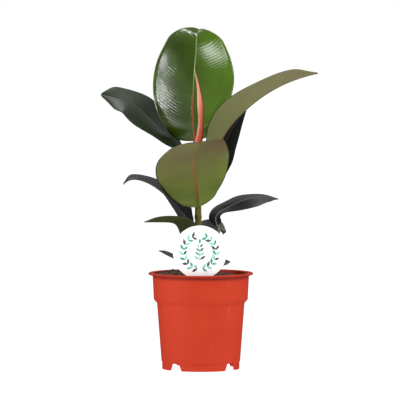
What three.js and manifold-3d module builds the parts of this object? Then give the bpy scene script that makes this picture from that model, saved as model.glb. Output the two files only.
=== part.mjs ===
// Potted rubber plant: a young Ficus elastica in a 12 cm nursery pot, with its round plant label.
// Units are millimetres and +Z is up. Everything is laid out from the pot's axis, with the pot's foot
// at z = 0, and the last step sets the whole plant over the middle of its own outline.
import * as THREE from 'three';
import Module from 'manifold-3d';

const wasm = await Module();
wasm.setup();
const { Manifold } = wasm;

// ---- driving dimensions -------------------------------------------------------------------

const GAP = 0.3; // clearance left between pieces that touch

const POT = {
  height: 110,
  wall: 1.2,
  lipRadius: 60,
  lipDepth: 3.5, // where the flange joins the collar
  lipEdge: 2.2, // and at its outer edge
  collarTop: 55.2,
  collarFoot: 53.8,
  collarFootZ: 79.4,
  stepZ: 75,
  stepRadius: 50.1,
  footRadius: 45.1,
  footStepZ: 8.6,
  ringRadius: 44.3,
  floorZ: 9.8,
  notchHeight: 8,
  notchFoot: 17, // the notch's width at the foot
  notchTop: 10, // and at its top
  notchBearing: 49.5,
  drainRadius: 4,
  drainCircle: 30,
  sides: 48,
};

const SOIL = {
  level: 103,
  bank: 4, // how much higher it lies on the left and at the rear
  mound: 2, // and round the stem
  ripple: 0.7,
  edge: 98, // where it stops following the pot's wall
  slotFloor: 62,
};

const STEM = { x: -3, y: 0, foot: 91, top: 257, footRadius: 4, topRadius: 3.4, nodeSwell: 0.5, sides: 16 };

const SHEATH = {
  route: [[-2.8, -2, 257.4], [2.5, -4, 282], [0.5, -6, 312], [-7.2, -4, 342]],
  radii: [4.2, 4.0, 3.5, 3.1, 3.2, 3.7, 3.3, 2.3, 1.5, 0.8, 0.3],
  sides: 12,
};

const LABEL = { x: -1.1, y: -45, z: 136, radius: 30.3, thickness: 0.8, stakeWidth: 12, stakeTip: 64 };

// Each leaf: the node on the stem that it grows from (height and bearing), the control points of its
// midrib, the directions that its upper side faces from base to tip, its full width, the angle that
// each half is folded up by, the fall of its margins, and how far along it is widest.
const LEAVES = {
  leaf_top: {
    node: { z: 247, bearing: 110 },
    midrib: [
      [-7, 8, 261], [-13, 34, 310], [-6, 52, 341],
      [-5, 53, 362], [-7, 46, 380], [-2, 65, 388],
    ],
    upper: [[-0.1, -1, 0.2], [0, -1, 0.1], [0.1, -1, 0.2], [-0.1, -0.9, 0.3]],
    width: 100, fold: 22, droop: -0.16, widest: 0.45, stalk: 1.9, colour: 0x4a6a1e,
  },
  leaf_upper_right: {
    node: { z: 223, bearing: -30 },
    midrib: [
      [13, -9, 233], [24, -8, 280], [45, -23, 291],
      [58, -32, 304], [78, -25, 327], [133, -22, 338],
    ],
    upper: [[-0.3, -0.1, 0.9], [-0.1, 0.1, 1], [0, 0.2, 1], [0.1, 0.1, 1]],
    width: 83, fold: 18, droop: 0, widest: 0.46, stalk: 1.9, colour: 0x3c4a24,
  },
  leaf_right_rear: {
    node: { z: 196, bearing: 55 },
    midrib: [[10, 21, 210], [23, 40, 259], [39, 55, 280], [49, 69, 286], [53, 76, 295]],
    upper: [[0.8, -0.6, -0.1], [0.7, -0.6, -0.3], [0.6, -0.5, -0.6]],
    width: 60, fold: 8, droop: 0.09, widest: 0.5, stalk: 1.8, colour: 0x242b1c,
  },
  leaf_front: {
    node: { z: 174, bearing: -95 },
    midrib: [
      [-4, -9, 186], [-1, -27, 220], [-15, -58, 233],
      [-10, -87, 245], [1, -103, 266], [-3, -122, 262],
    ],
    upper: [[-0.3, 0.4, 0.8], [-0.3, 0.2, 0.9], [-0.2, 0, 1], [-0.1, -0.2, 1]],
    width: 88, fold: 11, droop: 0.08, widest: 0.49, stalk: 2, colour: 0x62663c,
  },
  leaf_upper_left: {
    node: { z: 237, bearing: 175 },
    midrib: [
      [-20, 4, 250], [-53, 5, 279], [-65, -3, 291],
      [-67, 1, 299], [-79, 10, 307], [-114, 0, 313],
    ],
    upper: [[-0.2, -0.1, 1], [-0.1, -0.3, 0.9], [0.2, -0.3, 0.9], [0.5, -0.5, 0.7]],
    width: 78, fold: 4, droop: 0.06, widest: 0.47, stalk: 1.9, colour: 0x394636,
  },
  leaf_mid_left: {
    node: { z: 160, bearing: 200 },
    midrib: [
      [-10, -5, 166], [-28, -10, 185], [-40, -15, 208],
      [-58, -19, 213], [-76, -31, 227], [-88, -30, 212],
    ],
    upper: [[0.7, -0.5, 0.5], [0.4, -0.3, 0.85], [0.3, -0.15, 0.95], [0.2, 0, 1]],
    width: 54, fold: 12, droop: 0.08, widest: 0.42, stalk: 1.7, colour: 0x3a3a3e,
  },
  leaf_low_left: {
    node: { z: 131, bearing: 215 },
    midrib: [
      [-17, -12, 141], [-26, -20, 165], [-26, -25, 173],
      [-32, -32, 169], [-44, -42, 171], [-64, -38, 170],
    ],
    upper: [[0.5, -0.4, 0.7], [0.1, -0.2, 1], [-0.4, 0, 0.9], [-0.7, 0.1, 0.7]],
    width: 54, fold: 19, droop: 0.14, widest: 0.45, stalk: 1.6, colour: 0x45492c,
  },
  leaf_right: {
    node: { z: 149, bearing: -35 },
    midrib: [
      [20, -17, 165], [10, -16, 183], [28, -15, 182],
      [46, -8, 191], [57, 0, 203], [89, 2, 194],
    ],
    upper: [[-0.5, -0.1, 0.8], [-0.2, -0.3, 0.9], [0, -0.2, 1], [0.1, -0.1, 1]],
    width: 58, baseFold: 12, fold: -2, droop: 0.04, widest: 0.55, stalk: 1.6, colour: 0x353534,
  },
  leaf_low_right: {
    node: { z: 138, bearing: 65 },
    midrib: [[3, 10, 148], [7, 24, 157], [13, 33, 164], [29, 40, 154]],
    upper: [[0.1, -0.3, 1], [0, -0.1, 1], [0.3, -0.8, 0.6]],
    width: 34, fold: 13, droop: 0.01, widest: 0.44, stalk: 1.3, colour: 0x37313a,
  },
  leaf_small_left: {
    node: { z: 111, bearing: 150 },
    midrib: [[-12, 5, 114], [-20, 3, 122], [-30, 1, 128], [-48, 0, 135]],
    upper: [[0.3, -0.2, 0.9], [0.2, -0.2, 0.9], [0, -0.2, 0.9]],
    width: 20, fold: 8, droop: 0.05, widest: 0.5, stalk: 1.2, colour: 0x3c3c3a,
  },
  leaf_small_right: {
    node: { z: 112, bearing: 45 },
    midrib: [[6, 8, 114], [14, 12, 118], [24, 16, 121], [34, 18, 121]],
    upper: [[-0.2, -0.4, 0.9], [0, -0.4, 0.9], [0.2, -0.4, 0.9]],
    width: 18, fold: 8, droop: 0.05, widest: 0.5, stalk: 1.2, colour: 0x3e3a38,
  },
};

const BLADE = {
  rings: 12,
  stalkRings: 4,
  thickness: 0.7,
  tangentSpan: 0.07, // the midrib's direction is taken over this share of its length to each side
  keel: 1.5, // how far the midrib stands out under the base of the blade
  columns: [-1, -0.94, -0.6, -0.08, 0, 0.08, 0.6, 0.94, 1], // places across it, from margin to margin
};

// ---- small tools --------------------------------------------------------------------------

const rad = THREE.MathUtils.degToRad;
const smooth = (x) => THREE.MathUtils.smoothstep(x, 0, 1);
const vec = (p) => new THREE.Vector3(...p);

// A point on the Bezier curve with these control points.
function bezier(points, t) {
  let level = points;
  while (level.length > 1) level = level.slice(1).map((p, i) => level[i].clone().lerp(p, t));
  return level[0].clone();
}

// A closed body from equal rings of points, with a flat cap on each end. From the side numbered
// turn on, its faces are split along the other diagonal, so both faces of a thin leaf crease alike.
function loft(rings, turn = Infinity) {
  const sides = rings[0].length;
  const points = rings.flat();
  const faces = [];
  for (let r = 0; r + 1 < rings.length; r++) {
    for (let i = 0; i < sides; i++) {
      const a = r * sides + i;
      const b = r * sides + ((i + 1) % sides);
      if (i < turn) faces.push(a, b, b + sides, a, b + sides, a + sides);
      else faces.push(a, b, a + sides, b, b + sides, a + sides);
    }
  }
  const last = (rings.length - 1) * sides;
  for (let i = 1; i + 1 < sides; i++) faces.push(0, i + 1, i, last, last + i, last + i + 1);
  const geometry = new THREE.BufferGeometry();
  const numbers = points.flatMap((p) => [p.x, p.y, p.z]);
  geometry.setAttribute('position', new THREE.Float32BufferAttribute(numbers, 3));
  geometry.setIndex(faces);
  return geometry;
}

function toManifold(geometry) {
  return new Manifold(new wasm.Mesh({
    numProp: 3,
    vertProperties: new Float32Array(geometry.attributes.position.array),
    triVerts: new Uint32Array(geometry.index.array),
  }));
}

function toGeometry(solid) {
  const mesh = solid.getMesh();
  const geometry = new THREE.BufferGeometry();
  geometry.setAttribute('position', new THREE.Float32BufferAttribute(Array.from(mesh.vertProperties), 3));
  geometry.setIndex(Array.from(mesh.triVerts));
  return geometry;
}

function piece(name, geometry, colour, roughness) {
  geometry.computeVertexNormals();
  const material = new THREE.MeshStandardMaterial({ color: colour, roughness, metalness: 0 });
  const mesh = new THREE.Mesh(geometry, material);
  mesh.name = name;
  return mesh;
}

// A full turn of a closed outline of [radius, z] points, as a manifold.
function turned(outline, sides) {
  return Manifold.revolve([outline], sides);
}

// ---- pot ----------------------------------------------------------------------------------

// The wall follows one outline: foot ring, tapered body, step, straight collar and flat lip.
function potOutline() {
  const { height, wall, lipRadius, lipDepth, lipEdge, collarTop, collarFoot, collarFootZ } = POT;
  const { stepZ, stepRadius, footRadius, footStepZ, ringRadius, floorZ } = POT;
  return [
    [0, floorZ],
    [ringRadius - wall, floorZ],
    [ringRadius - wall, 0],
    [ringRadius, 0],
    [ringRadius, footStepZ],
    [footRadius, footStepZ],
    [stepRadius, stepZ],
    [collarFoot, collarFootZ],
    [collarTop, height - lipDepth],
    [lipRadius - 0.6, height - lipEdge],
    [lipRadius, height - lipEdge + 0.5],
    [lipRadius, height - 0.8],
    [lipRadius - 0.8, height],
    [collarTop - wall + 0.6, height],
    [collarTop - wall, height - 0.6],
    [collarFoot - wall, collarFootZ + 0.4],
    [stepRadius - wall, stepZ + 0.4],
    [footRadius - wall + 0.3, floorZ + wall],
    [0, floorZ + wall],
  ];
}

function buildPot() {
  let body = turned(potOutline(), POT.sides);
  const flare = (POT.notchFoot - POT.notchTop) / 2 / POT.notchHeight;
  const low = POT.notchFoot / 2 + flare;
  const high = POT.notchTop / 2;
  const outline = [[-low, -1], [low, -1], [high, POT.notchHeight], [-high, POT.notchHeight]];
  const notch = Manifold.extrude([outline], 2 * POT.wall + 8, 0, 0, [1, 1], true)
    .rotate([90, 0, 90])
    .translate([POT.ringRadius - POT.wall, 0, 0]);
  for (let i = 0; i < 4; i++) {
    const cutter = notch.rotate([0, 0, POT.notchBearing + i * 90]);
    body = body.subtract(cutter);
  }
  for (let i = 0; i < 8; i++) {
    const drain = Manifold.cylinder(10, POT.drainRadius, POT.drainRadius, 16, true)
      .translate([POT.drainCircle, 0, POT.floorZ])
      .rotate([0, 0, i * 45]);
    body = body.subtract(drain);
  }
  return body;
}

// ---- soil ---------------------------------------------------------------------------------

// Height of the compost's surface: a low mound round the stem, banked up to the left and rear.
function soilTop(x, y) {
  const mound = SOIL.mound * Math.exp(-((x - STEM.x) ** 2 + y ** 2) / 400);
  const bank = SOIL.bank * smooth((15 - x + 0.4 * y) / 50);
  const ripple = SOIL.ripple * Math.sin(x / 4.1) * Math.cos(y / 5.3 + x / 9);
  return SOIL.level + mound + bank + ripple;
}

function potInside(z) {
  if (z < POT.stepZ) {
    const t = (z - POT.footStepZ) / (POT.stepZ - POT.footStepZ);
    return THREE.MathUtils.lerp(POT.footRadius, POT.stepRadius, t) - POT.wall;
  }
  const t = (z - POT.collarFootZ) / (POT.height - POT.collarFootZ);
  return THREE.MathUtils.lerp(POT.collarFoot, POT.collarTop, Math.max(t, 0)) - POT.wall;
}

function buildSoil() {
  const ring = (radius, height) => Array.from({ length: POT.sides }, (_, i) => {
    const a = (2 * Math.PI * i) / POT.sides;
    const x = radius * Math.cos(a);
    const y = radius * Math.sin(a);
    return new THREE.Vector3(x, y, typeof height === 'number' ? height : height(x, y));
  });
  const clear = GAP + 0.3;
  const bottom = POT.floorZ + POT.wall + GAP;
  const rings = [
    ring(potInside(bottom) - clear - 0.6, bottom),
    ring(potInside(POT.stepZ - 0.1) - clear - 0.4, POT.stepZ - 0.5),
    ring(potInside(POT.collarFootZ) - clear, POT.collarFootZ + 1),
    ring(potInside(SOIL.edge) - clear, SOIL.edge),
  ];
  for (const radius of [53, 46, 37, 27, 17, 7]) rings.push(ring(radius, soilTop));
  let body = toManifold(loft(rings));
  const hole = Manifold.cylinder(60, STEM.footRadius + 0.45, STEM.footRadius + 0.45, 24)
    .translate([STEM.x, STEM.y, STEM.foot - GAP]);
  const slot = Manifold.cube([LABEL.stakeWidth + 2 * GAP, LABEL.thickness + 2 * GAP, 60])
    .translate([LABEL.x - LABEL.stakeWidth / 2 - GAP, LABEL.y - LABEL.thickness / 2 - GAP, SOIL.slotFloor]);
  body = body.subtract(hole).subtract(slot);
  return body;
}

// ---- stem and bud sheath ------------------------------------------------------------------

function stemRadius(z) {
  const t = (z - STEM.foot) / (STEM.top - STEM.foot);
  let swell = 0;
  for (const { node } of Object.values(LEAVES)) swell += Math.exp(-(((z - node.z) / 3) ** 2));
  return THREE.MathUtils.lerp(STEM.footRadius, STEM.topRadius, t) + STEM.nodeSwell * Math.min(swell, 1);
}

// A ring of points round a centre, square to a direction.
function tubeRing(centre, direction, radius, sides) {
  const side = new THREE.Vector3(1, 0, 0);
  side.addScaledVector(direction, -side.dot(direction)).normalize();
  const up = direction.clone().cross(side);
  return Array.from({ length: sides }, (_, i) => {
    const a = (2 * Math.PI * i) / sides;
    return centre.clone()
      .addScaledVector(side, radius * Math.cos(a))
      .addScaledVector(up, radius * Math.sin(a));
  });
}

function buildStem() {
  const heights = [STEM.foot, 103];
  const nodes = Object.values(LEAVES).map(({ node }) => node.z).sort((a, b) => a - b);
  for (const z of nodes) heights.push(z - 3.5, z, z + 3.5);
  heights.push(STEM.top);
  heights.sort((a, b) => a - b);
  const spaced = heights.filter((z, i) => i === 0 || z - heights[i - 1] > 1.2 || z === STEM.top);
  const up = new THREE.Vector3(0, 0, 1);
  return loft(spaced.map((z) => tubeRing(vec([STEM.x, STEM.y, z]), up, stemRadius(z), STEM.sides)));
}

function buildSheath() {
  const route = SHEATH.route.map(vec);
  const last = SHEATH.radii.length - 1;
  return loft(SHEATH.radii.map((radius, i) => {
    const t = i / last;
    const ahead = bezier(route, Math.min(t + 0.01, 1)).sub(bezier(route, Math.max(t - 0.01, 0)));
    const direction = i === 0 ? new THREE.Vector3(0, 0, 1) : ahead.normalize();
    return tubeRing(bezier(route, t), direction, radius, SHEATH.sides);
  }));
}

// ---- leaves -------------------------------------------------------------------------------

function halfWidth(leaf, s) {
  const x = 2 * s ** (Math.log(0.5) / Math.log(leaf.widest)) - 1;
  const dripTip = 1 - 0.5 * smooth((s - 0.84) / 0.16);
  return (leaf.width / 2) * Math.sqrt(Math.max(0, 1 - x * x)) * dripTip;
}

// One ring across a leaf: s is the place along the blade, and 0 or less is the stalk.
function leafRing(leaf, s, centre, along, upper) {
  const normal = upper.clone().addScaledVector(along, -upper.dot(along)).normalize();
  const across = along.clone().cross(normal);
  const flat = smooth(s / 0.1);
  const rib = THREE.MathUtils.lerp(leaf.stalk, 0.3, smooth(s * 2));
  const half = Math.max(halfWidth(leaf, Math.max(s, 0)), rib);
  const opened = THREE.MathUtils.lerp(leaf.baseFold ?? leaf.fold, leaf.fold, smooth(s * 2));
  const fold = rad(opened) * flat;
  const point = (t, side) => {
    const round = leaf.stalk * Math.sqrt(1 - t * t);
    const edge = Math.abs(t) === 1 ? 0 : BLADE.thickness / 2;
    const keel = side < 0 && t === 0 ? BLADE.keel * (1 - 0.8 * s) : 0;
    const depth = side * THREE.MathUtils.lerp(round, edge + keel, flat);
    const rise = half * flat * (Math.abs(t) * Math.sin(fold) - leaf.droop * t * t);
    return centre.clone()
      .addScaledVector(across, half * t * Math.cos(fold))
      .addScaledVector(normal, rise + depth);
  };
  const upperSide = BLADE.columns.map((t) => point(t, 1));
  const underSide = BLADE.columns.slice(1, -1).reverse().map((t) => point(t, -1));
  return [...upperSide, ...underSide];
}

function buildLeaf(leaf) {
  const midrib = leaf.midrib.map(vec);
  const facing = leaf.upper.map((p) => vec(p).normalize());

  // The midrib's points are spread evenly along its length.
  const steps = 160;
  const fine = Array.from({ length: steps + 1 }, (_, i) => bezier(midrib, i / steps));
  const lengths = [0];
  for (let i = 1; i <= steps; i++) lengths.push(lengths[i - 1] + fine[i].distanceTo(fine[i - 1]));
  const at = (s) => {
    const goal = THREE.MathUtils.clamp(s, 0, 1) * lengths[steps];
    let i = 1;
    while (i < steps && lengths[i] < goal) i++;
    const t = (goal - lengths[i - 1]) / (lengths[i] - lengths[i - 1]);
    return fine[i - 1].clone().lerp(fine[i], t);
  };
  const span = BLADE.tangentSpan;
  const along = (s) => at(Math.min(s + span, 1)).sub(at(Math.max(s - span, 0))).normalize();

  // The stalk leaves the stem square to it and runs on into the midrib.
  const outward = new THREE.Vector3(Math.cos(rad(leaf.node.bearing)), Math.sin(rad(leaf.node.bearing)), 0);
  const start = new THREE.Vector3(STEM.x, STEM.y, leaf.node.z)
    .addScaledVector(outward, stemRadius(leaf.node.z) + GAP + 0.1);
  const base = at(0);
  const reach = start.distanceTo(base) * 0.45;
  const stalk = [
    start,
    start.clone().addScaledVector(outward, reach),
    base.clone().addScaledVector(along(0), -reach),
    base,
  ];

  const rings = [];
  for (let i = 0; i < BLADE.stalkRings; i++) {
    const t = i / BLADE.stalkRings;
    const direction = bezier(stalk, t + 0.01).sub(bezier(stalk, Math.max(t - 0.01, 0))).normalize();
    rings.push(leafRing(leaf, 0, bezier(stalk, t), direction, facing[0]));
  }
  for (let i = 0; i <= BLADE.rings; i++) {
    const s = (1 - Math.cos((Math.PI * i) / BLADE.rings)) / 2;
    rings.push(leafRing(leaf, s, at(s), along(s), bezier(facing, s)));
  }
  return loft(rings, BLADE.columns.length - 1);
}

// ---- plant label --------------------------------------------------------------------------

// A round tag and its pointed stake, cut from one sheet.
function buildLabel() {
  const outline = new THREE.Shape();
  const half = LABEL.stakeWidth / 2;
  const shoulder = Math.asin(half / LABEL.radius);
  const depth = LABEL.z - LABEL.stakeTip;
  outline.moveTo(0, -depth);
  outline.lineTo(half * 0.8, -depth + 14);
  outline.lineTo(half, -LABEL.radius * Math.cos(shoulder));
  outline.absarc(0, 0, LABEL.radius, -Math.PI / 2 + shoulder, 1.5 * Math.PI - shoulder, false);
  outline.lineTo(-half * 0.8, -depth + 14);
  const points = outline.extractPoints(24).shape.map((p) => [p.x, p.y]);
  const unique = points.filter((p, i) => {
    const q = points[(i + 1) % points.length];
    return Math.hypot(p[0] - q[0], p[1] - q[1]) > 1e-4;
  });
  return Manifold.extrude([unique], LABEL.thickness, 0, 0, [1, 1], true)
    .rotate([90, 0, 0])
    .translate([LABEL.x, LABEL.y, LABEL.z]);
}

// ---- assembly -----------------------------------------------------------------------------

const plant = new THREE.Group();
plant.name = 'potted_rubber_plant';
plant.add(piece('pot', toGeometry(buildPot()), 0xd24a31, 0.45));
plant.add(piece('soil', toGeometry(buildSoil()), 0x5a3a2c, 0.95));
plant.add(piece('stem', buildStem(), 0x5f6424, 0.5));
plant.add(piece('bud_sheath', buildSheath(), 0xe0705c, 0.4));
for (const [name, leaf] of Object.entries(LEAVES)) {
  plant.add(piece(name, buildLeaf(leaf), leaf.colour, 0.25));
}
plant.add(piece('plant_label', toGeometry(buildLabel()), 0xf4f5f6, 0.4));

// The frame's origin is the middle of the underside of the plant's bounding box.
const middle = new THREE.Box3().setFromObject(plant).getCenter(new THREE.Vector3());
plant.position.set(-middle.x, -middle.y, 0);

export default plant;
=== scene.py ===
import math
import random

import bmesh
import bpy
from mathutils import Matrix, Vector, noise


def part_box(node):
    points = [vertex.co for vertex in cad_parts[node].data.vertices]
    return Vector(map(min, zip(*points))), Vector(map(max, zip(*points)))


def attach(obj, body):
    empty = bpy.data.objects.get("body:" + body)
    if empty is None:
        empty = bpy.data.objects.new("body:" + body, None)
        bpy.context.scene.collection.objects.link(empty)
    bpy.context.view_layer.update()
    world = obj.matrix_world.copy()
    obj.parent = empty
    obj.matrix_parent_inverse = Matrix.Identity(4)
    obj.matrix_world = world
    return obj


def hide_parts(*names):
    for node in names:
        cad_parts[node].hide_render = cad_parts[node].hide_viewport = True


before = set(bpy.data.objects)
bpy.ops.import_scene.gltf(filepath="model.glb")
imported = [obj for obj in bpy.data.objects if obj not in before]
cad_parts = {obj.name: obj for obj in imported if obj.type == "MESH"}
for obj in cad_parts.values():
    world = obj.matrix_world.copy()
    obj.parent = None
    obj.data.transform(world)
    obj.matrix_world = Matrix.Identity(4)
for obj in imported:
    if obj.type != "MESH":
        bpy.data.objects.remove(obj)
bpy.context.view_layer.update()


# ---- The pot ------------------------------------------------------------------------------
# A 12 cm nursery pot, injection moulded as one thin shell of terracotta-red plastic. A collar
# stands proud under its lip, its floor is raised and drilled, and four notches in the foot ring
# let the drained water out.

MM = 0.001
pot_low, pot_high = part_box("pot")
POT_AXIS = Vector(((pot_low.x + pot_high.x) / 2, (pot_low.y + pot_high.y) / 2, 0))
NOTCHES, NOTCH_HEIGHT, NOTCH_FOOT, NOTCH_TOP, NOTCH_BEARING = 4, 8.0, 17.0, 10.0, 49.5
FOOT_RING = 43.7
DRAIN_HOLES, DRAIN_CIRCLE, DRAIN_RADIUS, FLOOR_MIDDLE = 8, 30.0, 4.0, 10.4
LIP_FOOT, LIP_EDGE = 106.2 * MM, 109.5 * MM
POT_SHELL = [
    (0, 9.8), (43.1, 9.8), (43.1, 0), (44.3, 0), (44.3, 8.6), (45.1, 8.6),
    (50.1, 75), (53.8, 79.4), (55.2, 106.5), (59.4, 107.8), (60, 108.3),
    (60, 109.2), (59.2, 110), (54.6, 110), (54, 109.4), (52.6, 79.8),
    (48.9, 75.4), (44.2, 11), (0, 11),
]
TURNING_STEPS = 180


def turned(outline):
    """A shell turned round the pot's axis from its outline of (radius, height) in millimetres."""
    shell = bmesh.new()
    spots = [shell.verts.new((r * MM, 0, z * MM)) for r, z in outline]
    line = [shell.edges.new(pair) for pair in zip(spots, spots[1:])]
    bmesh.ops.spin(
        shell, geom=spots + line, cent=(0, 0, 0), axis=(0, 0, 1),
        angle=math.tau, steps=TURNING_STEPS, use_merge=True,
    )
    bmesh.ops.remove_doubles(shell, verts=shell.verts, dist=1e-6)
    return shell


def stand(name, shape, *finishes):
    """Makes a piece of a shape modelled round the pot's axis, puts it in place, and lets it ride."""
    mesh = bpy.data.meshes.new(name)
    shape.to_mesh(mesh)
    shape.free()
    mesh.transform(Matrix.Translation(POT_AXIS))
    for finish in finishes:
        mesh.materials.append(finish)
    for face in mesh.polygons:
        face.use_smooth = True
    piece = bpy.data.objects.new(name, mesh)
    bpy.context.scene.collection.objects.link(piece)
    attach(piece, "root")
    return piece


def paint(code):
    """The linear colour of a six-figure web colour."""
    parts = [int(code[i:i + 2], 16) / 255 for i in (0, 2, 4)]
    return (*[c / 12.92 if c <= 0.04045 else ((c + 0.055) / 1.055) ** 2.4 for c in parts], 1)


def new_finish(name, roughness, **settings):
    """A finish with its shader's plain settings, and its empty colour and bump to be wired."""
    finish = bpy.data.materials.new(name)
    finish.use_nodes = True
    shader = finish.node_tree.nodes["Principled BSDF"]
    shader.inputs["Roughness"].default_value = roughness
    for key, value in settings.items():
        shader.inputs[key.replace("_", " ")].default_value = value
    return finish


def wire(finish, kind, inputs, output=0, **settings):
    """Adds a node to a finish, fills or links its inputs, and gives back one of its outputs."""
    node = finish.node_tree.nodes.new(kind)
    for key, value in settings.items():
        setattr(node, key, value)
    for key, value in inputs.items():
        if isinstance(value, bpy.types.NodeSocket):
            finish.node_tree.links.new(value, node.inputs[key])
        else:
            node.inputs[key].default_value = value
    return node.outputs[output]


def calc(finish, operation, a, b=0.0):
    """One sum on two numbers or outputs."""
    return wire(finish, "ShaderNodeMath", {0: a, 1: b}, operation=operation)


def blend_tones(finish, amount, tone, other):
    """One tone turning into another as the amount goes from 0 to 1."""
    return wire(
        finish, "ShaderNodeMix", {"Factor": amount, 6: tone, 7: other}, output=2,
        data_type="RGBA", clamp_factor=True,
    )


def between(finish, value, start, end):
    """0 where the value is at start, 1 where it is at end, and smooth between."""
    return wire(
        finish, "ShaderNodeMapRange", {0: value, 1: start, 2: end, 3: 0.0, 4: 1.0},
        interpolation_type="SMOOTHSTEP",
    )


def cloudy(finish, scale, detail=3.0, stretch=(1, 1, 1)):
    """Soft noise over the piece, scale to the metre, stretched along an axis if need be."""
    spot = wire(finish, "ShaderNodeTexCoord", {}, output="Object")
    spot = wire(finish, "ShaderNodeMapping", {"Vector": spot, "Scale": stretch})
    return wire(finish, "ShaderNodeTexNoise", {"Vector": spot, "Scale": scale, "Detail": detail})


def surface(finish, colour, height, depth, strength=1.0):
    """Wires a finish's colour, and its relief of that depth in metres."""
    shader = finish.node_tree.nodes["Principled BSDF"]
    relief = wire(
        finish, "ShaderNodeBump", {"Height": height, "Distance": depth, "Strength": strength}
    )
    finish.node_tree.links.new(colour, shader.inputs["Base Color"])
    finish.node_tree.links.new(relief, shader.inputs["Normal"])


def fix_modifiers(piece):
    """Fixes a piece's modifiers into its mesh."""
    bpy.context.view_layer.update()
    settled = piece.evaluated_get(bpy.context.evaluated_depsgraph_get())
    mesh = bpy.data.meshes.new_from_object(settled)
    piece.modifiers.clear()
    piece.data = mesh


pot_shell = turned(POT_SHELL)
bmesh.ops.recalc_face_normals(pot_shell, faces=pot_shell.faces)

pot_plastic = new_finish("terracotta_red_plastic", 0.45, Specular_IOR_Level=0.3)
mottle = between(pot_plastic, cloudy(pot_plastic, 38, 5), 0.2, 0.85)
pot_colour = blend_tones(pot_plastic, mottle, paint("c83414"), paint("cd3917"))
scuffs = between(pot_plastic, cloudy(pot_plastic, 160, 6, (1, 1, 0.25)), 0.62, 0.8)
scuffs = calc(pot_plastic, "MULTIPLY", scuffs, 0.3)
pot_colour = blend_tones(pot_plastic, scuffs, pot_colour, paint("d9674a"))

# The wall is painted darker in a band just under the lip: painted shade standing in for the shadow
# that the lip casts.
pot_place = wire(pot_plastic, "ShaderNodeTexCoord", {}, output="Object")
pot_level = wire(pot_plastic, "ShaderNodeSeparateXYZ", {0: pot_place}, output=2)
under_lip = between(pot_plastic, pot_level, LIP_FOOT - 3.7 * MM, LIP_FOOT)
below_edge = between(pot_plastic, pot_level, LIP_EDGE, LIP_EDGE - 0.7 * MM)
painted_lip_shadow = calc(pot_plastic, "MULTIPLY", calc(pot_plastic, "MULTIPLY", under_lip, below_edge), 0.62)
pot_colour = blend_tones(pot_plastic, painted_lip_shadow, pot_colour, paint("7a1c0c"))
surface(pot_plastic, pot_colour, cloudy(pot_plastic, 900, 3), 0.00006, 0.5)

pot = stand("nursery_pot", pot_shell, pot_plastic)

# Drills for the drain holes and tapered blocks for the notches. The blocks reach 1 mm below the
# foot, where their slanted sides are 0.9 mm further apart.
cutters = bmesh.new()
for hole in range(DRAIN_HOLES):
    place = Matrix.Rotation(math.tau * hole / DRAIN_HOLES, 4, "Z")
    place @= Matrix.Translation((DRAIN_CIRCLE * MM, 0, FLOOR_MIDDLE * MM))
    bmesh.ops.create_cone(
        cutters, cap_ends=True, segments=32, radius1=DRAIN_RADIUS * MM, radius2=DRAIN_RADIUS * MM,
        depth=6 * MM, matrix=place,
    )
for notch in range(NOTCHES):
    place = Matrix.Rotation(math.radians(NOTCH_BEARING + 90 * notch), 4, "Z")
    place @= Matrix.Translation((FOOT_RING * MM, 0, 0))
    block = bmesh.ops.create_cube(cutters, size=2)
    for v in block["verts"]:
        v.co.x *= 5 * MM
        v.co.y *= (NOTCH_TOP if v.co.z > 0 else NOTCH_FOOT + 0.9) / 2 * MM
        v.co.z = (NOTCH_HEIGHT if v.co.z > 0 else -1) * MM
    bmesh.ops.transform(cutters, matrix=place, verts=block["verts"])
cutting_tool = stand("cutting_tool", cutters)
openings = pot.modifiers.new("drain_holes_and_notches", "BOOLEAN")
openings.operation = "DIFFERENCE"
openings.solver = "EXACT"
openings.object = cutting_tool
fix_modifiers(pot)
bpy.data.objects.remove(cutting_tool)
soft_edges = pot.modifiers.new("moulded_edges", "BEVEL")
soft_edges.width = 0.25 * MM
soft_edges.segments = 2
soft_edges.limit_method = "ANGLE"
soft_edges.angle_limit = math.radians(30)
soft_edges.harden_normals = True
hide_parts("pot")


# ---- The compost --------------------------------------------------------------------------
# Peat compost with bits of bark and coir, filled to just under the lip and banked up against
# the left and rear of the pot. Loose crumbs of it lie on top.

COMPOST_SIDE = [(0, 11.3), (43.2, 11.3), (48, 74.6), (52.1, 80.6), (53.2, 98)]
COMPOST_RADIUS, COMPOST_LEVEL = 53.5, 103
CRUMBS, CRUMB_REACH = 620, 52.0
STEM_X = -3.0
crumb_chance = random.Random(12)


def smooth_step(x):
    """0 up to 0, 1 from 1 on, and smooth between."""
    x = min(max(x, 0.0), 1.0)
    return x * x * (3 - 2 * x)


def compost_height(x, y):
    """The height of the compost's surface at a place in millimetres from the pot's axis."""
    mound = 2.0 * math.exp(-((x - STEM_X) ** 2 + y ** 2) / 400)
    bank = 4.0 * smooth_step((15 - x + 0.4 * y) / 50)
    heap = 3.3 * smooth_step((y - 16) / 28)
    ripple = 0.7 * math.sin(x / 4.1) * math.cos(y / 5.3 + x / 9)
    return COMPOST_LEVEL + mound + bank + heap + ripple


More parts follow.
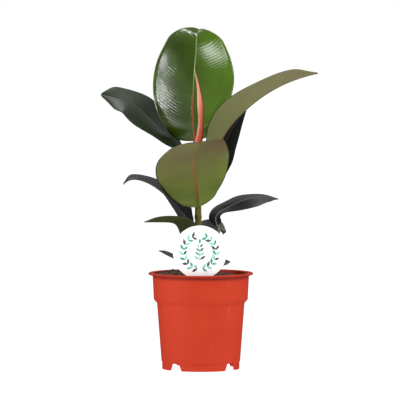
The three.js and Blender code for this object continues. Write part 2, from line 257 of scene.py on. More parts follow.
compost_top = [(COMPOST_RADIUS - i, COMPOST_LEVEL) for i in range(int(COMPOST_RADIUS) + 1)]
compost_body = turned(COMPOST_SIDE + compost_top + [(0, COMPOST_LEVEL)])
for v in compost_body.verts:
    if v.co.z > (COMPOST_LEVEL - 1) * MM:
        x, y = v.co.x / MM, v.co.y / MM
        lumps = 1.3 * noise.noise((x / 2.6, y / 2.6, 4.0))
        lumps += 0.7 * noise.noise((x / 1.1, y / 1.1, 9.0))
        v.co.z = (compost_height(x, y) + lumps - 0.5) * MM
for i in range(CRUMBS):
    reach = CRUMB_REACH * math.sqrt(crumb_chance.random())
    turn = crumb_chance.uniform(0, math.tau)
    x, y = reach * math.cos(turn), reach * math.sin(turn)
    size = crumb_chance.uniform(0.5, 1.0) + 1.2 * crumb_chance.random() ** 4
    long_bit = crumb_chance.random() < 0.2
    stretch = Matrix.Diagonal((2.6 if long_bit else 1.2, 0.45 if long_bit else 1.0, 0.6, 1))
    swing = Matrix.Rotation(crumb_chance.uniform(0, math.tau), 4, "Z")
    tilt = Matrix.Rotation(crumb_chance.uniform(-0.3, 0.3), 4, "X")
    place = Matrix.Translation(Vector((x, y, compost_height(x, y) + size * 0.15)) * MM)
    made = bmesh.ops.create_icosphere(
        compost_body, subdivisions=1, radius=size * MM, matrix=place @ (swing @ tilt) @ stretch,
    )
    for v in made["verts"]:
        v.co += noise.noise_vector(v.co / MM) * size * 0.3 * MM
        for face in v.link_faces:
            face.material_index = 1 if long_bit and i % 2 else 0
bmesh.ops.recalc_face_normals(compost_body, faces=compost_body.faces)


def earthy(name, dark, light, scale):
    """Crumbly earth: dark, with paler patches scattered at random."""
    finish = new_finish(name, 0.95)
    patches = between(finish, cloudy(finish, scale, 8), 0.38, 0.66)
    colour = blend_tones(finish, patches, paint(dark), paint(light))
    surface(finish, colour, cloudy(finish, 1400, 6), 0.0008)
    return finish


compost = stand(
    "compost", compost_body,
    earthy("peat", "4a3026", "96705e", 420), earthy("bark_bits", "7a5a48", "b39c86", 300),
)
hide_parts("soil")


# ---- The stem -----------------------------------------------------------------------------
# One upright woody shoot, green turning to olive brown, a little thicker at each leaf's node,
# where the fallen bud sheath has left a thin ring.

STEM_FOOT, STEM_TOP = 91.0, 257.0
STEM_FOOT_RADIUS, STEM_TOP_RADIUS, NODE_SWELL = 4.0, 3.4, 0.5
NODE_HEIGHTS = [247, 223, 196, 174, 237, 160, 131, 149, 138, 111, 112]


def wrapped(columns, rows, spot):
    """A closed skin rolled up from a grid. spot(column, row) gives, from 0 to 1 each way, a
    crossing's place in millimetres and its three facts for the finish. The second half of the
    columns takes the second finish."""
    skin = bmesh.new()
    facts_layer = skin.verts.layers.float_vector.new("blade")
    bmesh.ops.create_grid(skin, x_segments=columns, y_segments=rows, size=1)
    for face in skin.faces:
        face.material_index = 1 if face.calc_center_median().x > 0 else 0
    for v in skin.verts:
        place, facts = spot((v.co.x + 1) / 2, (v.co.y + 1) / 2)
        v[facts_layer] = facts
        v.co = place * MM
    bmesh.ops.remove_doubles(skin, verts=skin.verts, dist=2e-6)
    bmesh.ops.holes_fill(skin, edges=[e for e in skin.edges if e.is_boundary], sides=0)
    bmesh.ops.recalc_face_normals(skin, faces=skin.faces)
    return skin


def stem_radius(z):
    """The stem's radius at a height, both in millimetres."""
    share = (z - STEM_FOOT) / (STEM_TOP - STEM_FOOT)
    swell = min(1, sum(math.exp(-(((z - node) / 3) ** 2)) for node in NODE_HEIGHTS))
    return STEM_FOOT_RADIUS + (STEM_TOP_RADIUS - STEM_FOOT_RADIUS) * share + NODE_SWELL * swell


def stem_spot(column, row):
    """A place on the stem's skin, with how far up the stem it is."""
    z = STEM_FOOT + (STEM_TOP - STEM_FOOT) * row
    turn = math.tau * column
    ring_scar = sum(math.exp(-(((z - node - 2.6) / 0.5) ** 2)) for node in NODE_HEIGHTS)
    grain = noise.noise((math.cos(turn), math.sin(turn), z / 6))
    radius = stem_radius(z) - 0.16 * min(ring_scar, 1) + 0.08 * grain
    place = Vector((STEM_X + radius * math.cos(turn), radius * math.sin(turn), z))
    return place, (0, row, 0)


bark = new_finish("young_bark", 0.5)
stem_facts = wire(bark, "ShaderNodeAttribute", {}, output="Vector", attribute_name="blade")
up_stem = wire(bark, "ShaderNodeSeparateXYZ", {0: stem_facts}, output=1)
stem_colour = blend_tones(bark, between(bark, up_stem, 0.2, 0.65), paint("4b6a17"), paint("7b6a2c"))
flecks = between(bark, cloudy(bark, 700, 4, (1, 1, 0.35)), 0.55, 0.72)
stem_colour = blend_tones(bark, calc(bark, "MULTIPLY", flecks, 0.5), stem_colour, paint("8f8a4e"))
surface(bark, stem_colour, cloudy(bark, 1100, 4, (1, 1, 0.2)), 0.0003)

stem = stand("stem", wrapped(48, 240, stem_spot), bark, bark)
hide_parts("stem")


# ---- The bud sheath -----------------------------------------------------------------------
# The rolled red sheath that wraps the next leaf at the tip of the shoot: a soft spindle with one
# overlapping edge winding up it, waxy and a little see-through.

SHEATH_ROUTE = [(-2.8, -2, 257.4), (2.5, -4, 282), (0.5, -6, 312), (-7.2, -4, 342)]
SHEATH_RADII = [4.2, 4.0, 3.5, 3.1, 3.2, 3.7, 3.3, 2.3, 1.5, 0.8, 0.3]


def pulled(points, share):
    """The place at a share from 0 to 1 along the smooth curve that the points pull."""
    run = [Vector(p) for p in points]
    while len(run) > 1:
        run = [a.lerp(b, share) for a, b in zip(run, run[1:])]
    return run[0]


def sheath_spot(column, row):
    """A place on the sheath's skin, with which side it is on and how far up the sheath it is."""
    turn = math.tau * column
    step = row * (len(SHEATH_RADII) - 1)
    at = min(int(step), len(SHEATH_RADII) - 2)
    four = [SHEATH_RADII[min(max(at + k, 0), len(SHEATH_RADII) - 1)] for k in (-1, 0, 1, 2)]
    x = step - at
    radius = 0.5 * (
        2 * four[1] + (four[2] - four[0]) * x
        + (2 * four[0] - 5 * four[1] + 4 * four[2] - four[3]) * x * x
        + (3 * four[1] - four[0] - 3 * four[2] + four[3]) * x ** 3
    )
    lap = (turn - 4.2 - 1.6 * row + math.pi) % math.tau - math.pi
    radius *= 1 - 0.07 * smooth_step((lap + 0.15) / 0.3) * smooth_step((1.4 - lap) / 1.2)
    ahead = pulled(SHEATH_ROUTE, min(row + 0.01, 1)) - pulled(SHEATH_ROUTE, max(row - 0.01, 0))
    direction = ahead.normalized() if row > 0 else Vector((0, 0, 1))
    side = (Vector((1, 0, 0)) - direction * direction.x).normalized()
    up = direction.cross(side)
    centre = pulled(SHEATH_ROUTE, row)
    place = centre + side * radius * math.cos(turn) + up * radius * math.sin(turn)
    return place, (math.cos(turn), row, math.sin(turn))


sheath_wax = new_finish("red_bud_sheath", 0.34, Coat_Weight=0.25, Coat_Roughness=0.2)
sheath_facts = wire(sheath_wax, "ShaderNodeAttribute", {}, output="Vector", attribute_name="blade")
sheath_side = wire(sheath_wax, "ShaderNodeSeparateXYZ", {0: sheath_facts}, output=0)
sheath_up = wire(sheath_wax, "ShaderNodeSeparateXYZ", {0: sheath_facts}, output=1)
paler_upwards = between(sheath_wax, sheath_up, 0.1, 0.7)
sheath_colour = blend_tones(sheath_wax, paler_upwards, paint("f0664a"), paint("fa9c82"))
# The left side is painted pale as a painted highlight and the right side dark red as painted shade;
# the paler tip is the sheath's own tone.
for facing_value, start, end, tone in (
    (sheath_up, 0.8, 1.0, "f2b094"),
    (sheath_side, 0.35, 0.95, "b83a28"),
    (sheath_side, -0.5, -0.98, "ffd2ae"),
):
    share = between(sheath_wax, facing_value, start, end)
    sheath_colour = blend_tones(sheath_wax, share, sheath_colour, paint(tone))
surface(sheath_wax, sheath_colour, cloudy(sheath_wax, 900, 3, (1, 1, 0.06)), 0.0003)

sheath = stand("bud_sheath_spindle", wrapped(40, 90, sheath_spot), sheath_wax, sheath_wax)
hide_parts("bud_sheath")


# ---- The leaves ---------------------------------------------------------------------------
# Eleven thick leathery leaves, one at each node: a round stalk, an oval blade folded a little
# along its midrib, fine side veins that run out to the margin, and a short drip tip. The upper
# side is glossy dark green, the underside a duller olive with the midrib standing out.

LEAF_THICKNESS, MIDRIB_KEEL, MIDRIB_GROOVE = 0.7, 1.5, 0.25
STALK_SHARE, SMOOTHING_SPAN, RIPPLE = 0.12, 0.07, 0.012
VEIN_SPACING, VEIN_RELIEF = 3.8, 0.00007
VEIN_TINT = {"top": 0.14, "under": 0.34}
VEIN_GRAIN = {"top": 0.15, "under": 0.3}
RIB_WIDTH = {"top": 0.9, "under": 1.7}
TOP_ROUGHNESS, UNDER_ROUGHNESS, UNDER_SHINE = 0.28, 0.42, 0.3

# Each leaf has its node's height and the stalk's bearing on leaving the stem, the blade's width,
# its fold in degrees, its droop at the margins, where it is widest, and its stalk's radius. The
# midrib's points pull the blade's curve from base to tip, and upper is where the upper side
# faces along it. Then come the tones of its two sides, midrib, rim and veins.
LEAVES = {
    "leaf_top": dict(
        node=247, bearing=110, width=100, fold=22, droop=-0.16, widest=0.45, stalk=1.9,
        midrib=[
            (-7, 8, 261), (-13, 34, 310), (-6, 52, 341),
            (-5, 53, 361.4), (-7, 46, 379), (-2, 65, 387.7),
        ],
        upper=[(-0.1, -1, 0.2), (0, -1, 0.1), (0.1, -1, 0.2), (-0.1, -0.9, 0.3)],
        top=("2a3804", "567c04"), under=("5f7a3a", "6c8848"),
        top_rib=("b8482a", "b8482a", "86a35c"), under_rib=("a0582c", "a9b878", "a9b878"),
        rib_turn=0.42, rim="7c9150", vein="5c8a34", shine=0.5, top_roughness=0.16,
    ),
    "leaf_upper_right": dict(
        node=223, bearing=-30, width=83, fold=18, droop=0, widest=0.46, stalk=1.9,
        midrib=[
            (13, -9, 233), (24, -8, 280), (45, -23, 291),
            (58, -32, 304), (78, -25, 327), (133, -22, 338),
        ],
        upper=[(-0.3, -0.1, 0.9), (-0.1, 0.1, 1), (0, 0.2, 1), (0.1, 0.1, 1)],
        top=("2e4a1c", "3c5c22"), under=("7a8048", "827c58"),
        top_rib=("6e3a2c", "6e6a44", "6e6a44"), under_rib=("74402e", "70402e", "6c6844"),
        rib_turn=0.3, rim="2c3a20", vein="564c30", shine=0.4,
    ),
    "leaf_right_rear": dict(
        node=196, bearing=55, width=60, fold=8, droop=0.09, widest=0.5, stalk=1.8,
        midrib=[(10, 21, 210), (23, 40, 259), (39, 55, 280), (49, 69, 286), (53, 76, 295)],
        upper=[(0.8, -0.6, -0.1), (0.7, -0.6, -0.3), (0.6, -0.5, -0.6)],
        top=("0a0c06", "12140c"), under=("5f6242", "6c6e4c"),
        top_rib=("4a4048", "4a4048", "3a343c"), under_rib=("7a6a4a", "8a7a5a", "8a7a5a"),
        rib_turn=0.5, rim="242428", vein="14160e", shine=0.15,
    ),
    "leaf_front": dict(
        node=174, bearing=-95, width=88, fold=11, droop=0.08, widest=0.49, stalk=2,
        midrib=[
            (-4, -9, 186), (-1, -27, 220), (-15, -58, 233),
            (-10, -87, 245), (1, -103, 266), (-3, -122, 262),
        ],
        upper=[(-0.3, 0.4, 0.8), (-0.3, 0.2, 0.9), (-0.2, 0, 1), (-0.1, -0.2, 1)],
        top=("2c4220", "3a5428"), under=("7a8e3c", "6b5d43"),
        top_rib=("7a7a3a", "8a7a4a", "8a7a4a"), under_rib=("70702a", "98602e", "6a6a38"),
        rib_turn=0.65, rim="343e2a", vein="564a30", shine=0.4,
    ),
    "leaf_upper_left": dict(
        node=237, bearing=175, width=78, fold=4, droop=0.06, widest=0.47, stalk=1.9,
        midrib=[
            (-20, 4, 250), (-53, 5, 279), (-65, -3, 291),
            (-67, 1, 299), (-79, 10, 307), (-114, 0, 313),
        ],
        upper=[(-0.2, -0.1, 1), (-0.1, -0.3, 0.9), (0.2, -0.3, 0.9), (0.5, -0.5, 0.7)],
        top=("18240f", "22321a"), under=("6f7a50", "7a8458"),
        top_rib=("50484c", "5c5a5c", "4a5046"), under_rib=("8f8a5e", "8f8a5e", "8f8a5e"),
        rib_turn=0.5, rim="48523a", vein="2c3828", shine=0.3,
    ),
    "leaf_mid_left": dict(
        node=160, bearing=200, width=54, fold=12, droop=0.08, widest=0.42, stalk=1.7,
        midrib=[
            (-10, -5, 166), (-28, -10, 185), (-40, -15, 208),
            (-58, -19, 213), (-76, -31, 227), (-88, -30, 212),
        ],
        upper=[(0.7, -0.5, 0.5), (0.4, -0.3, 0.85), (0.3, -0.15, 0.95), (0.2, 0, 1)],
        top=("121114", "1e1c22"), under=("5a5c40", "66684a"),
        top_rib=("4a484c", "5a5860", "5a5860"), under_rib=("7c7454", "7c7454", "7c7454"),
        rib_turn=0.5, rim="403e46", vein="2c2a30", shine=0.35,
    ),
    "leaf_low_left": dict(
        node=131, bearing=215, width=54, fold=19, droop=0.14, widest=0.45, stalk=1.6,
        midrib=[
            (-17, -12, 141), (-26, -20, 165), (-26, -25, 173),
            (-32, -32, 169), (-44, -42, 171), (-64, -38, 170),
        ],
        upper=[(0.5, -0.4, 0.7), (0.1, -0.2, 1), (-0.4, 0, 0.9), (-0.7, 0.1, 0.7)],
        top=("20241a", "2e3220"), under=("353c1c", "454b28"),
        top_rib=("5c5e36", "52523e", "52523e"), under_rib=("5c5c34", "5c5c34", "50503a"),
        rib_turn=0.5, rim="2e3224", vein="3a3e26", shine=0.35,
    ),
    "leaf_right": dict(
        node=149, bearing=-35, width=58, base_fold=12, fold=-2, droop=0.04, widest=0.55, stalk=1.6,
        midrib=[
            (20, -17, 165), (10, -16, 183), (28, -15, 182),
            (46, -8, 191), (57, 0, 203), (89, 2, 194),
        ],
        upper=[(-0.5, -0.1, 0.8), (-0.2, -0.3, 0.9), (0, -0.2, 1), (0.1, -0.1, 1)],
        top=("161418", "26242a"), under=("6a6858", "78745f"),
        top_rib=("8a8678", "9a98a0", "8c8a94"), under_rib=("8c8874", "8c8874", "8c8874"),
        rib_turn=0.5, rim="3c3a3e", vein="2c2a30", shine=0.4,
    ),
    "leaf_low_right": dict(
        node=138, bearing=65, width=34, fold=13, droop=0.01, widest=0.44, stalk=1.3,
        midrib=[(3, 10, 148), (7, 24, 157), (13, 33, 164), (29, 40, 154)],
        upper=[(0.1, -0.3, 1), (0, -0.1, 1), (0.3, -0.8, 0.6)],
        top=("1e181e", "302a2e"), under=("5c5850", "686458"),
        top_rib=("6a6068", "6a6068", "5c565c"), under_rib=("7c7466", "7c7466", "7c7466"),
        rib_turn=0.5, rim="3c363e", vein="302a30", shine=0.35,
    ),
    "leaf_small_left": dict(
        node=111, bearing=150, width=20, fold=8, droop=0.05, widest=0.5, stalk=1.2,
        midrib=[(-12, 5, 114), (-20, 3, 122), (-30, 1, 128), (-48, 0, 135)],
        upper=[(0.3, -0.2, 0.9), (0.2, -0.2, 0.9), (0, -0.2, 0.9)],
        top=("1e2022", "303232"), under=("56584a", "626454"),
        top_rib=("5c5e5c", "5c5e5c", "545654"), under_rib=("74705c", "74705c", "74705c"),
        rib_turn=0.5, rim="3c3e3e", vein="2a2c30", shine=0.4,
    ),
    "leaf_small_right": dict(
        node=112, bearing=45, width=18, fold=8, droop=0.05, widest=0.5, stalk=1.2,
        midrib=[(6, 8, 114), (14, 12, 118), (24, 16, 121), (34, 18, 121)],
        upper=[(-0.2, -0.4, 0.9), (0, -0.4, 0.9), (0.2, -0.4, 0.9)],
        top=("1e1e22", "2e2e32"), under=("56564c", "626256"),
        top_rib=("5c5c5e", "5c5c5e", "545456"), under_rib=("74705c", "74705c", "74705c"),
        rib_turn=0.5, rim="3c3c40", vein="2a2a30", shine=0.4,
    ),
}


def leaf_shape(name, leaf):
    """The closed skin of one leaf, from where its stalk leaves the stem to its drip tip."""
    facing = [Vector(p).normalized() for p in leaf["upper"]]
    fine = [pulled(leaf["midrib"], i / 160) for i in range(161)]
    lengths = [0.0]
    for a, b in zip(fine, fine[1:]):
        lengths.append(lengths[-1] + (b - a).length)
    blade_length = lengths[-1]

    def at(s):
        goal = min(max(s, 0), 1) * blade_length
        i = 1
        while i < 160 and lengths[i] < goal:
            i += 1
        return fine[i - 1].lerp(fine[i], (goal - lengths[i - 1]) / (lengths[i] - lengths[i - 1]))

    def along(s):
        return (at(min(s + SMOOTHING_SPAN, 1)) - at(max(s - SMOOTHING_SPAN, 0))).normalized()

    bearing = math.radians(leaf["bearing"])
    outward = Vector((math.cos(bearing), math.sin(bearing), 0))
    start = Vector((STEM_X, 0, leaf["node"])) + outward * (stem_radius(leaf["node"]) - 1.2)
    reach = (start - at(0)).length * 0.45
    stalk_route = [start, start + outward * reach, at(0) - along(0) * reach, at(0)]
    wave = random.Random(name).uniform(0, math.tau)
    base_fold = leaf.get("base_fold", leaf["fold"])

    def half_width(s):
        x = 2 * s ** (math.log(0.5) / math.log(leaf["widest"])) - 1
        drip_tip = 1 - 0.5 * smooth_step((s - 0.84) / 0.16)
        return leaf["width"] / 2 * math.sqrt(max(0, 1 - x * x)) * drip_tip

    # A crossing of the skin. The first half of the columns is the upper side, from one margin to
    # the other, and the second half the underside back again. The first rows are the stalk.
    def spot(column, row):
        back = column > 0.5
        w = 4 * column - 1 if not back else 3 - 4 * column
        t = math.copysign(abs(w) ** 1.35, w) if abs(w) < 1 else math.copysign(1, w)
        if row < STALK_SHARE:
            s, step = 0.0, row / STALK_SHARE
            centre = pulled(stalk_route, step)
            ahead = pulled(stalk_route, min(step + 0.01, 1)) - pulled(stalk_route, max(step - 0.01, 0))
            direction = ahead.normalized()
            normal = facing[0]
        else:
            s = (1 - math.cos(math.pi * (row - STALK_SHARE) / (1 - STALK_SHARE))) / 2
            centre, direction, normal = at(s), along(s), pulled(facing, s)
        normal = (normal - direction * normal.dot(direction)).normalized()
        across = direction.cross(normal)
        flat = smooth_step(s / 0.1)
        rib = leaf["stalk"] + (0.3 - leaf["stalk"]) * smooth_step(s * 2)
        half = max(half_width(s), rib)
        opening = leaf["fold"] + (base_fold - leaf["fold"]) * (1 - smooth_step(s * 2))
        fold = math.radians(opening) * flat
        off = half * t
        round_stalk = leaf["stalk"] * math.sqrt(max(0, 1 - t * t))
        edge = LEAF_THICKNESS / 2 * math.sqrt(max(0, 1 - t ** 8))
        if back:
            edge += MIDRIB_KEEL * (1 - 0.8 * s) * math.exp(-((off / (1.9 - 1.1 * s)) ** 2))
        else:
            edge -= MIDRIB_GROOVE * (1 - 0.5 * s) * math.exp(-((off / 0.9) ** 2))
        depth = (round_stalk + (edge - round_stalk) * flat) * (-1 if back else 1)
        rise = half * flat * (abs(t) * math.sin(fold) - leaf["droop"] * t * t)
        rise += half * flat * RIPPLE * abs(t) ** 3 * math.sin(17 * s + wave + (1.3 if t > 0 else 0))
        place = centre + across * off * math.cos(fold) + normal * (rise + depth)
        shown = s if row >= STALK_SHARE else -0.15 * (1 - row / STALK_SHARE)
        return place, (off, shown, abs(t))

    return wrapped(64, 96, spot), blade_length


def leaf_finish(name, leaf, side, blade_length, roughness, shine):
    """A leaf's skin on one side, with its midrib, its side veins in relief and its thin rim."""
    skin = new_finish(name, roughness, Specular_IOR_Level=shine)
    facts = wire(skin, "ShaderNodeAttribute", {}, output="Vector", attribute_name="blade")
    off, s, t = (wire(skin, "ShaderNodeSeparateXYZ", {0: facts}, output=i) for i in range(3))
    out = calc(skin, "ABSOLUTE", off)
    first_tone, last_tone = (paint(code) for code in leaf[side])
    stalk_tone, rib_tone, rib_end_tone = (paint(code) for code in leaf[side + "_rib"])

    # The side veins lie a few millimetres apart and lean towards the tip, more so at the margin.
    lean = calc(skin, "MULTIPLY", out, 0.35 / blade_length)
    curl = calc(skin, "MULTIPLY", calc(skin, "POWER", t, 3.0), 4.0 / blade_length)
    along = calc(skin, "SUBTRACT", s, calc(skin, "ADD", lean, curl))
    phase = calc(skin, "MULTIPLY", along, math.tau * blade_length / VEIN_SPACING)
    phase = calc(skin, "ADD", phase, calc(skin, "MULTIPLY", cloudy(skin, 60, 1), 5.0))
    swell = calc(skin, "ADD", calc(skin, "MULTIPLY", calc(skin, "SINE", phase), 0.5), 0.5)
    on_blade = calc(skin, "MULTIPLY", between(skin, s, 0.02, 0.1), between(skin, t, 0.99, 0.85))
    vein = calc(skin, "MULTIPLY", calc(skin, "POWER", swell, 2.5), on_blade)
    vein = calc(skin, "MULTIPLY", vein, between(skin, cloudy(skin, 45, 3), 0.3, 0.7))

    patches = calc(skin, "MULTIPLY", between(skin, cloudy(skin, 26, 4), 0.3, 0.7), 0.3)
    # On the upper side the tone runs from one margin to the other, one half lighter than the other:
    # painted light. On the underside it changes from base to tip, the leaf's own colour.
    if side == "top":
        drift = between(skin, off, -0.25 * leaf["width"], 0.3 * leaf["width"])
    else:
        drift = between(skin, s, 0.1, 0.75)
    drift = calc(skin, "ADD", calc(skin, "MULTIPLY", drift, 0.7), patches)
    colour = blend_tones(skin, drift, first_tone, last_tone)
    vein_tint = calc(skin, "MULTIPLY", vein, VEIN_TINT[side])
    colour = blend_tones(skin, vein_tint, colour, paint(leaf["vein"]))
    rib_colour = blend_tones(skin, between(skin, s, 0.0, 0.2), stalk_tone, rib_tone)
    turn = leaf["rib_turn"]
    rib_colour = blend_tones(skin, between(skin, s, turn - 0.1, turn + 0.15), rib_colour, rib_end_tone)
    taper = calc(skin, "SUBTRACT", RIB_WIDTH[side], calc(skin, "MULTIPLY", s, RIB_WIDTH[side] * 0.6))
    on_rib = between(skin, calc(skin, "DIVIDE", out, taper), 1.3, 0.7)
    on_stalk = between(skin, s, 0.02, -0.02)
    colour = blend_tones(skin, calc(skin, "MAXIMUM", on_rib, on_stalk), colour, rib_colour)
    colour = blend_tones(skin, between(skin, t, 0.965, 0.99), colour, paint(leaf["rim"]))


    # The blade is duller near its base.
    dull_base = calc(skin, "MULTIPLY", between(skin, s, 0.2, 0.06), 0.35)
    shader = skin.node_tree.nodes["Principled BSDF"]
    skin.node_tree.links.new(calc(skin, "ADD", dull_base, roughness), shader.inputs["Roughness"])

    grain = calc(skin, "MULTIPLY", cloudy(skin, 380, 4), VEIN_GRAIN[side])
    surface(skin, colour, calc(skin, "ADD", vein, grain), VEIN_RELIEF)
    return skin


for node_name, leaf in LEAVES.items():
    shape, blade_length = leaf_shape(node_name, leaf)
    top_skin = leaf_finish(
        node_name + "_upper_side", leaf, "top", blade_length,
        leaf.get("top_roughness", TOP_ROUGHNESS), leaf["shine"],
    )
    under_skin = leaf_finish(
        node_name + "_underside", leaf, "under", blade_length, UNDER_ROUGHNESS, UNDER_SHINE
    )
    blade = stand(node_name.replace("leaf_", "grown_"), shape, top_skin, under_skin)
    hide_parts(node_name)


# ---- The plant label ----------------------------------------------------------------------
# A round white tag and its pointed stake, die-cut from one sheet of plastic and pushed into the
# compost. Its front is printed with a plain garland and a sprig in teal, mint and slate.

TAG_CENTRE = Vector((-1.1, -45, 136))
TAG_RADIUS, TAG_THICKNESS = 30.3, 0.8
STAKE_HALF_WIDTH, STAKE_TIP, STAKE_POINT, STAKE_TAPER = 6.0, 64.0, 13.0, 0.82

tag_shape = bmesh.new()
disc = bmesh.ops.create_circle(tag_shape, cap_ends=True, radius=TAG_RADIUS, segments=160)
foot_verts = [v for v in disc["verts"] if v.co.y < 0 and abs(v.co.x) < STAKE_HALF_WIDTH]
foot_edges = [e for e in tag_shape.edges if all(v in foot_verts for v in e.verts)]
drawn = bmesh.ops.extrude_edge_only(tag_shape, edges=foot_edges)
for v in [g for g in drawn["geom"] if isinstance(g, bmesh.types.BMVert)]:
    v.co.y = STAKE_TIP - TAG_CENTRE.z + STAKE_POINT * abs(v.co.x) / STAKE_HALF_WIDTH
    v.co.x *= STAKE_TAPER
thickened = bmesh.ops.extrude_face_region(tag_shape, geom=tag_shape.faces[:])
front_verts = [g for g in thickened["geom"] if isinstance(g, bmesh.types.BMVert)]
bmesh.ops.translate(tag_shape, vec=(0, 0, TAG_THICKNESS), verts=front_verts)
TO_TAG = (
    Matrix.Translation(TAG_CENTRE * MM) @ Matrix.Rotation(math.pi / 2, 4, "X") @ Matrix.Scale(MM, 4)
)
bmesh.ops.translate(tag_shape, vec=(0, 0, -TAG_THICKNESS / 2), verts=tag_shape.verts)
bmesh.ops.transform(tag_shape, matrix=TO_TAG, verts=tag_shape.verts)
bmesh.ops.recalc_face_normals(tag_shape, faces=tag_shape.faces)

tag_plastic = new_finish("white_tag_plastic", 0.38)
tag_patch = between(tag_plastic, cloudy(tag_plastic, 30, 4), 0.3, 0.7)
surface(
    tag_plastic, blend_tones(tag_plastic, tag_patch, paint("fafafa"), paint("ffffff")),
    cloudy(tag_plastic, 1500, 3), 0.00005,
)
# The white plastic is given a weak glow so that it reads as white: painted light, as the tag is no
# lamp.
tag_painted_glow = tag_plastic.node_tree.nodes["Principled BSDF"]
tag_painted_glow.inputs["Emission Color"].default_value = (0.92, 0.96, 1, 1)
tag_painted_glow.inputs["Emission Strength"].default_value = 0.2
tag = stand("round_tag", tag_shape, tag_plastic)
for face in tag.data.polygons:
    face.use_smooth = False
tag_edges = tag.modifiers.new("cut_edges", "BEVEL")
tag_edges.width = 0.12 * MM
tag_edges.segments = 2
tag_edges.limit_method = "ANGLE"
tag_edges.harden_normals = True
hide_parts("plant_label")

INKS = {"teal": "3fae96", "mint": "8fe6d2", "slate": "4a5358"}
print_marks = {ink: bmesh.new() for ink in INKS}


def leaflet(ink, x, y, turn, length, width):
    """Prints one pointed leaflet of an ink on the tag, its foot at x, y from the tag's centre."""
    shape = print_marks[ink]
    made = bmesh.ops.create_circle(shape, cap_ends=True, radius=1, segments=20)
    for v in made["verts"]:
        u = v.co.x
        v.co.y *= width / 2 * (1 - 0.55 * abs(u)) * (1 - 0.25 * u)
        v.co.x = (u + 1) * length / 2
    face = made["verts"][0].link_faces[0]
    thick = bmesh.ops.extrude_face_region(shape, geom=[face])
    lifted = [g for g in thick["geom"] if isinstance(g, bmesh.types.BMVert)]
    bmesh.ops.translate(shape, vec=(0, 0, 0.05), verts=lifted)
    place = Matrix.Translation((x, y, TAG_THICKNESS / 2 - 0.01)) @ Matrix.Rotation(turn, 4, "Z")
    bmesh.ops.transform(shape, matrix=TO_TAG @ place, verts=made["verts"] + lifted)


ink_order = ["mint", "slate", "teal", "mint", "teal", "slate"]
GARLAND_PAIRS, GARLAND_RADIUS = 20, 18.5
open_at_the_top = (GARLAND_PAIRS // 2 - 1, GARLAND_PAIRS // 2)
for i in [pair for pair in range(GARLAND_PAIRS) if pair not in open_at_the_top]:
    turn = math.tau * (i + 0.5) / GARLAND_PAIRS
    x, y = GARLAND_RADIUS * math.sin(turn), -GARLAND_RADIUS * math.cos(turn)
    way = turn if i < GARLAND_PAIRS / 2 else turn + math.pi
    leaflet(ink_order[i % 6], x, y, way + 0.75, 7.4, 3.2)
    leaflet(ink_order[(i + 2) % 6], x, y, way - 0.75, 6.4, 2.9)
for k in range(4):
    for hand in (-1, 1):
        lift = math.pi / 2 - hand * (1.0 - 0.12 * k)
        ink = ink_order[(2 * k + (hand > 0)) % 6]
        leaflet(ink, hand * 0.5, -8 + 4.6 * k, lift, 7.4 - 0.9 * k, 2.9 - 0.2 * k)
leaflet("teal", 0, 9.5, math.pi / 2, 6.5, 2.8)
leaflet("slate", 0, -13, math.pi / 2, 22, 0.7)

for ink, shape in print_marks.items():
    bmesh.ops.recalc_face_normals(shape, faces=shape.faces)
    ink_finish = new_finish(ink + "_ink", 0.45)
    ink_cloud = between(ink_finish, cloudy(ink_finish, 500, 3), 0.35, 0.75)
    faded = tuple(min(1, c * 1.18 + 0.02) for c in paint(INKS[ink])[:3]) + (1,)
    surface(
        ink_finish, blend_tones(ink_finish, ink_cloud, paint(INKS[ink]), faded),
        cloudy(ink_finish, 1500, 3), 0.00003,
    )
    print_piece = stand(ink + "_print", shape, ink_finish)


# ---- The studio ---------------------------------------------------------------------------
# A white floor that glows a little, white surroundings, soft boxes at the right, left, front and
# back, and a long lens level with the top of the plant, looking slightly down.

FLOOR_HALF_WIDTH, FLOOR_TONE, FLOOR_GLOW = 30, 0.3, 0.92
floor_shape = bmesh.new()
bmesh.ops.create_grid(floor_shape, x_segments=2, y_segments=2, size=FLOOR_HALF_WIDTH)
floor_mesh = bpy.data.meshes.new("floor")
floor_shape.to_mesh(floor_mesh)
floor_shape.free()
floor_white = new_finish("white_floor", 0.9)
floor_shader = floor_white.node_tree.nodes["Principled BSDF"]
floor_shader.inputs["Base Color"].default_value = (FLOOR_TONE, FLOOR_TONE, FLOOR_TONE, 1)
floor_shader.inputs["Emission Color"].default_value = (1, 1, 1, 1)
floor_shader.inputs["Emission Strength"].default_value = FLOOR_GLOW
floor_mesh.materials.append(floor_white)
floor = bpy.data.objects.new("floor", floor_mesh)
bpy.context.scene.collection.objects.link(floor)
floor.visible_glossy = False

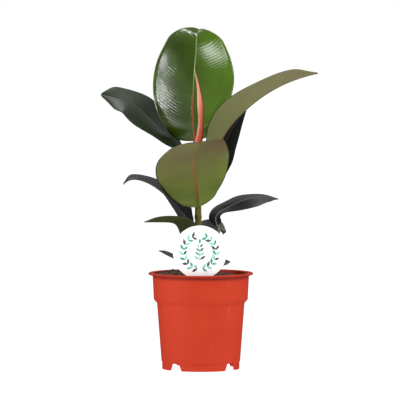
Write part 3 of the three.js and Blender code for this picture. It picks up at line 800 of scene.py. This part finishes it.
SURROUND_LOW, SURROUND_HIGH = 0.06, 0.5
world = bpy.data.worlds.new("white_surroundings")
bpy.context.scene.world = world
world.use_nodes = True
backdrop = world.node_tree.nodes["Background"]
backdrop.inputs["Color"].default_value = (1, 1, 1, 1)
heading = wire(world, "ShaderNodeTexCoord", {}, output="Generated")
upward = wire(world, "ShaderNodeSeparateXYZ", {0: heading}, output=2)
overhead_glow = wire(
    world, "ShaderNodeMapRange",
    {0: upward, 1: -0.2, 2: 0.95, 3: SURROUND_LOW, 4: SURROUND_HIGH}, interpolation_type="SMOOTHSTEP",
)
seen = wire(world, "ShaderNodeLightPath", {}, output="Is Camera Ray")
brightness = wire(world, "ShaderNodeMix", {0: seen, 2: overhead_glow, 3: 1.0}, data_type="FLOAT")
world.node_tree.links.new(brightness, backdrop.inputs["Strength"])
bpy.context.scene.view_settings.view_transform = "Standard"


def soft_light(name, place, aim, width, height, power):
    """A soft box at a place in metres from the foot of the pot's axis, turned to its aim."""
    lamp = bpy.data.lights.new(name, "AREA")
    lamp.shape = "RECTANGLE"
    lamp.size, lamp.size_y, lamp.energy = width, height, power
    box = bpy.data.objects.new(name, lamp)
    box.location = POT_AXIS + Vector(place)
    box.rotation_mode = "QUATERNION"
    box.rotation_quaternion = (Vector(aim) - Vector(place)).to_track_quat("-Z", "Y")
    bpy.context.scene.collection.objects.link(box)


soft_light("right_soft_box", (1.18, -0.27, 0.95), (0, 0, 0.3), 0.05, 1.4, 9)
soft_light("left_soft_box", (-1.1, -0.6, 0.5), (0, 0, 0.3), 0.3, 0.5, 5)
soft_light("front_fill", (0.1, -1.9, 1.5), (0, 0, 0.15), 0.5, 0.4, 13)
soft_light("back_soft_box", (-0.2, 0.8, 1.5), (0, 0, 0.3), 1.0, 0.5, 4)

LENS_HEIGHT, LENS_DISTANCE, LENS_ASIDE, AIM_HEIGHT = 0.391, 4.0, -0.0009, 0.193
VIEW_WIDTH = 0.4572
camera = bpy.data.cameras.new("camera")
camera.sensor_width = 36
aim = POT_AXIS + Vector((LENS_ASIDE, 0, AIM_HEIGHT))
lens_place = POT_AXIS + Vector((LENS_ASIDE, -LENS_DISTANCE, LENS_HEIGHT))
camera.lens = camera.sensor_width * (aim - lens_place).length / VIEW_WIDTH
camera.clip_end = 50
viewer = bpy.data.objects.new("camera", camera)
viewer.location = lens_place
viewer.rotation_mode = "QUATERNION"
viewer.rotation_quaternion = (aim - lens_place).to_track_quat("-Z", "Y")
bpy.context.scene.collection.objects.link(viewer)
bpy.context.scene.camera = viewer

bpy.context.view_layer.update()
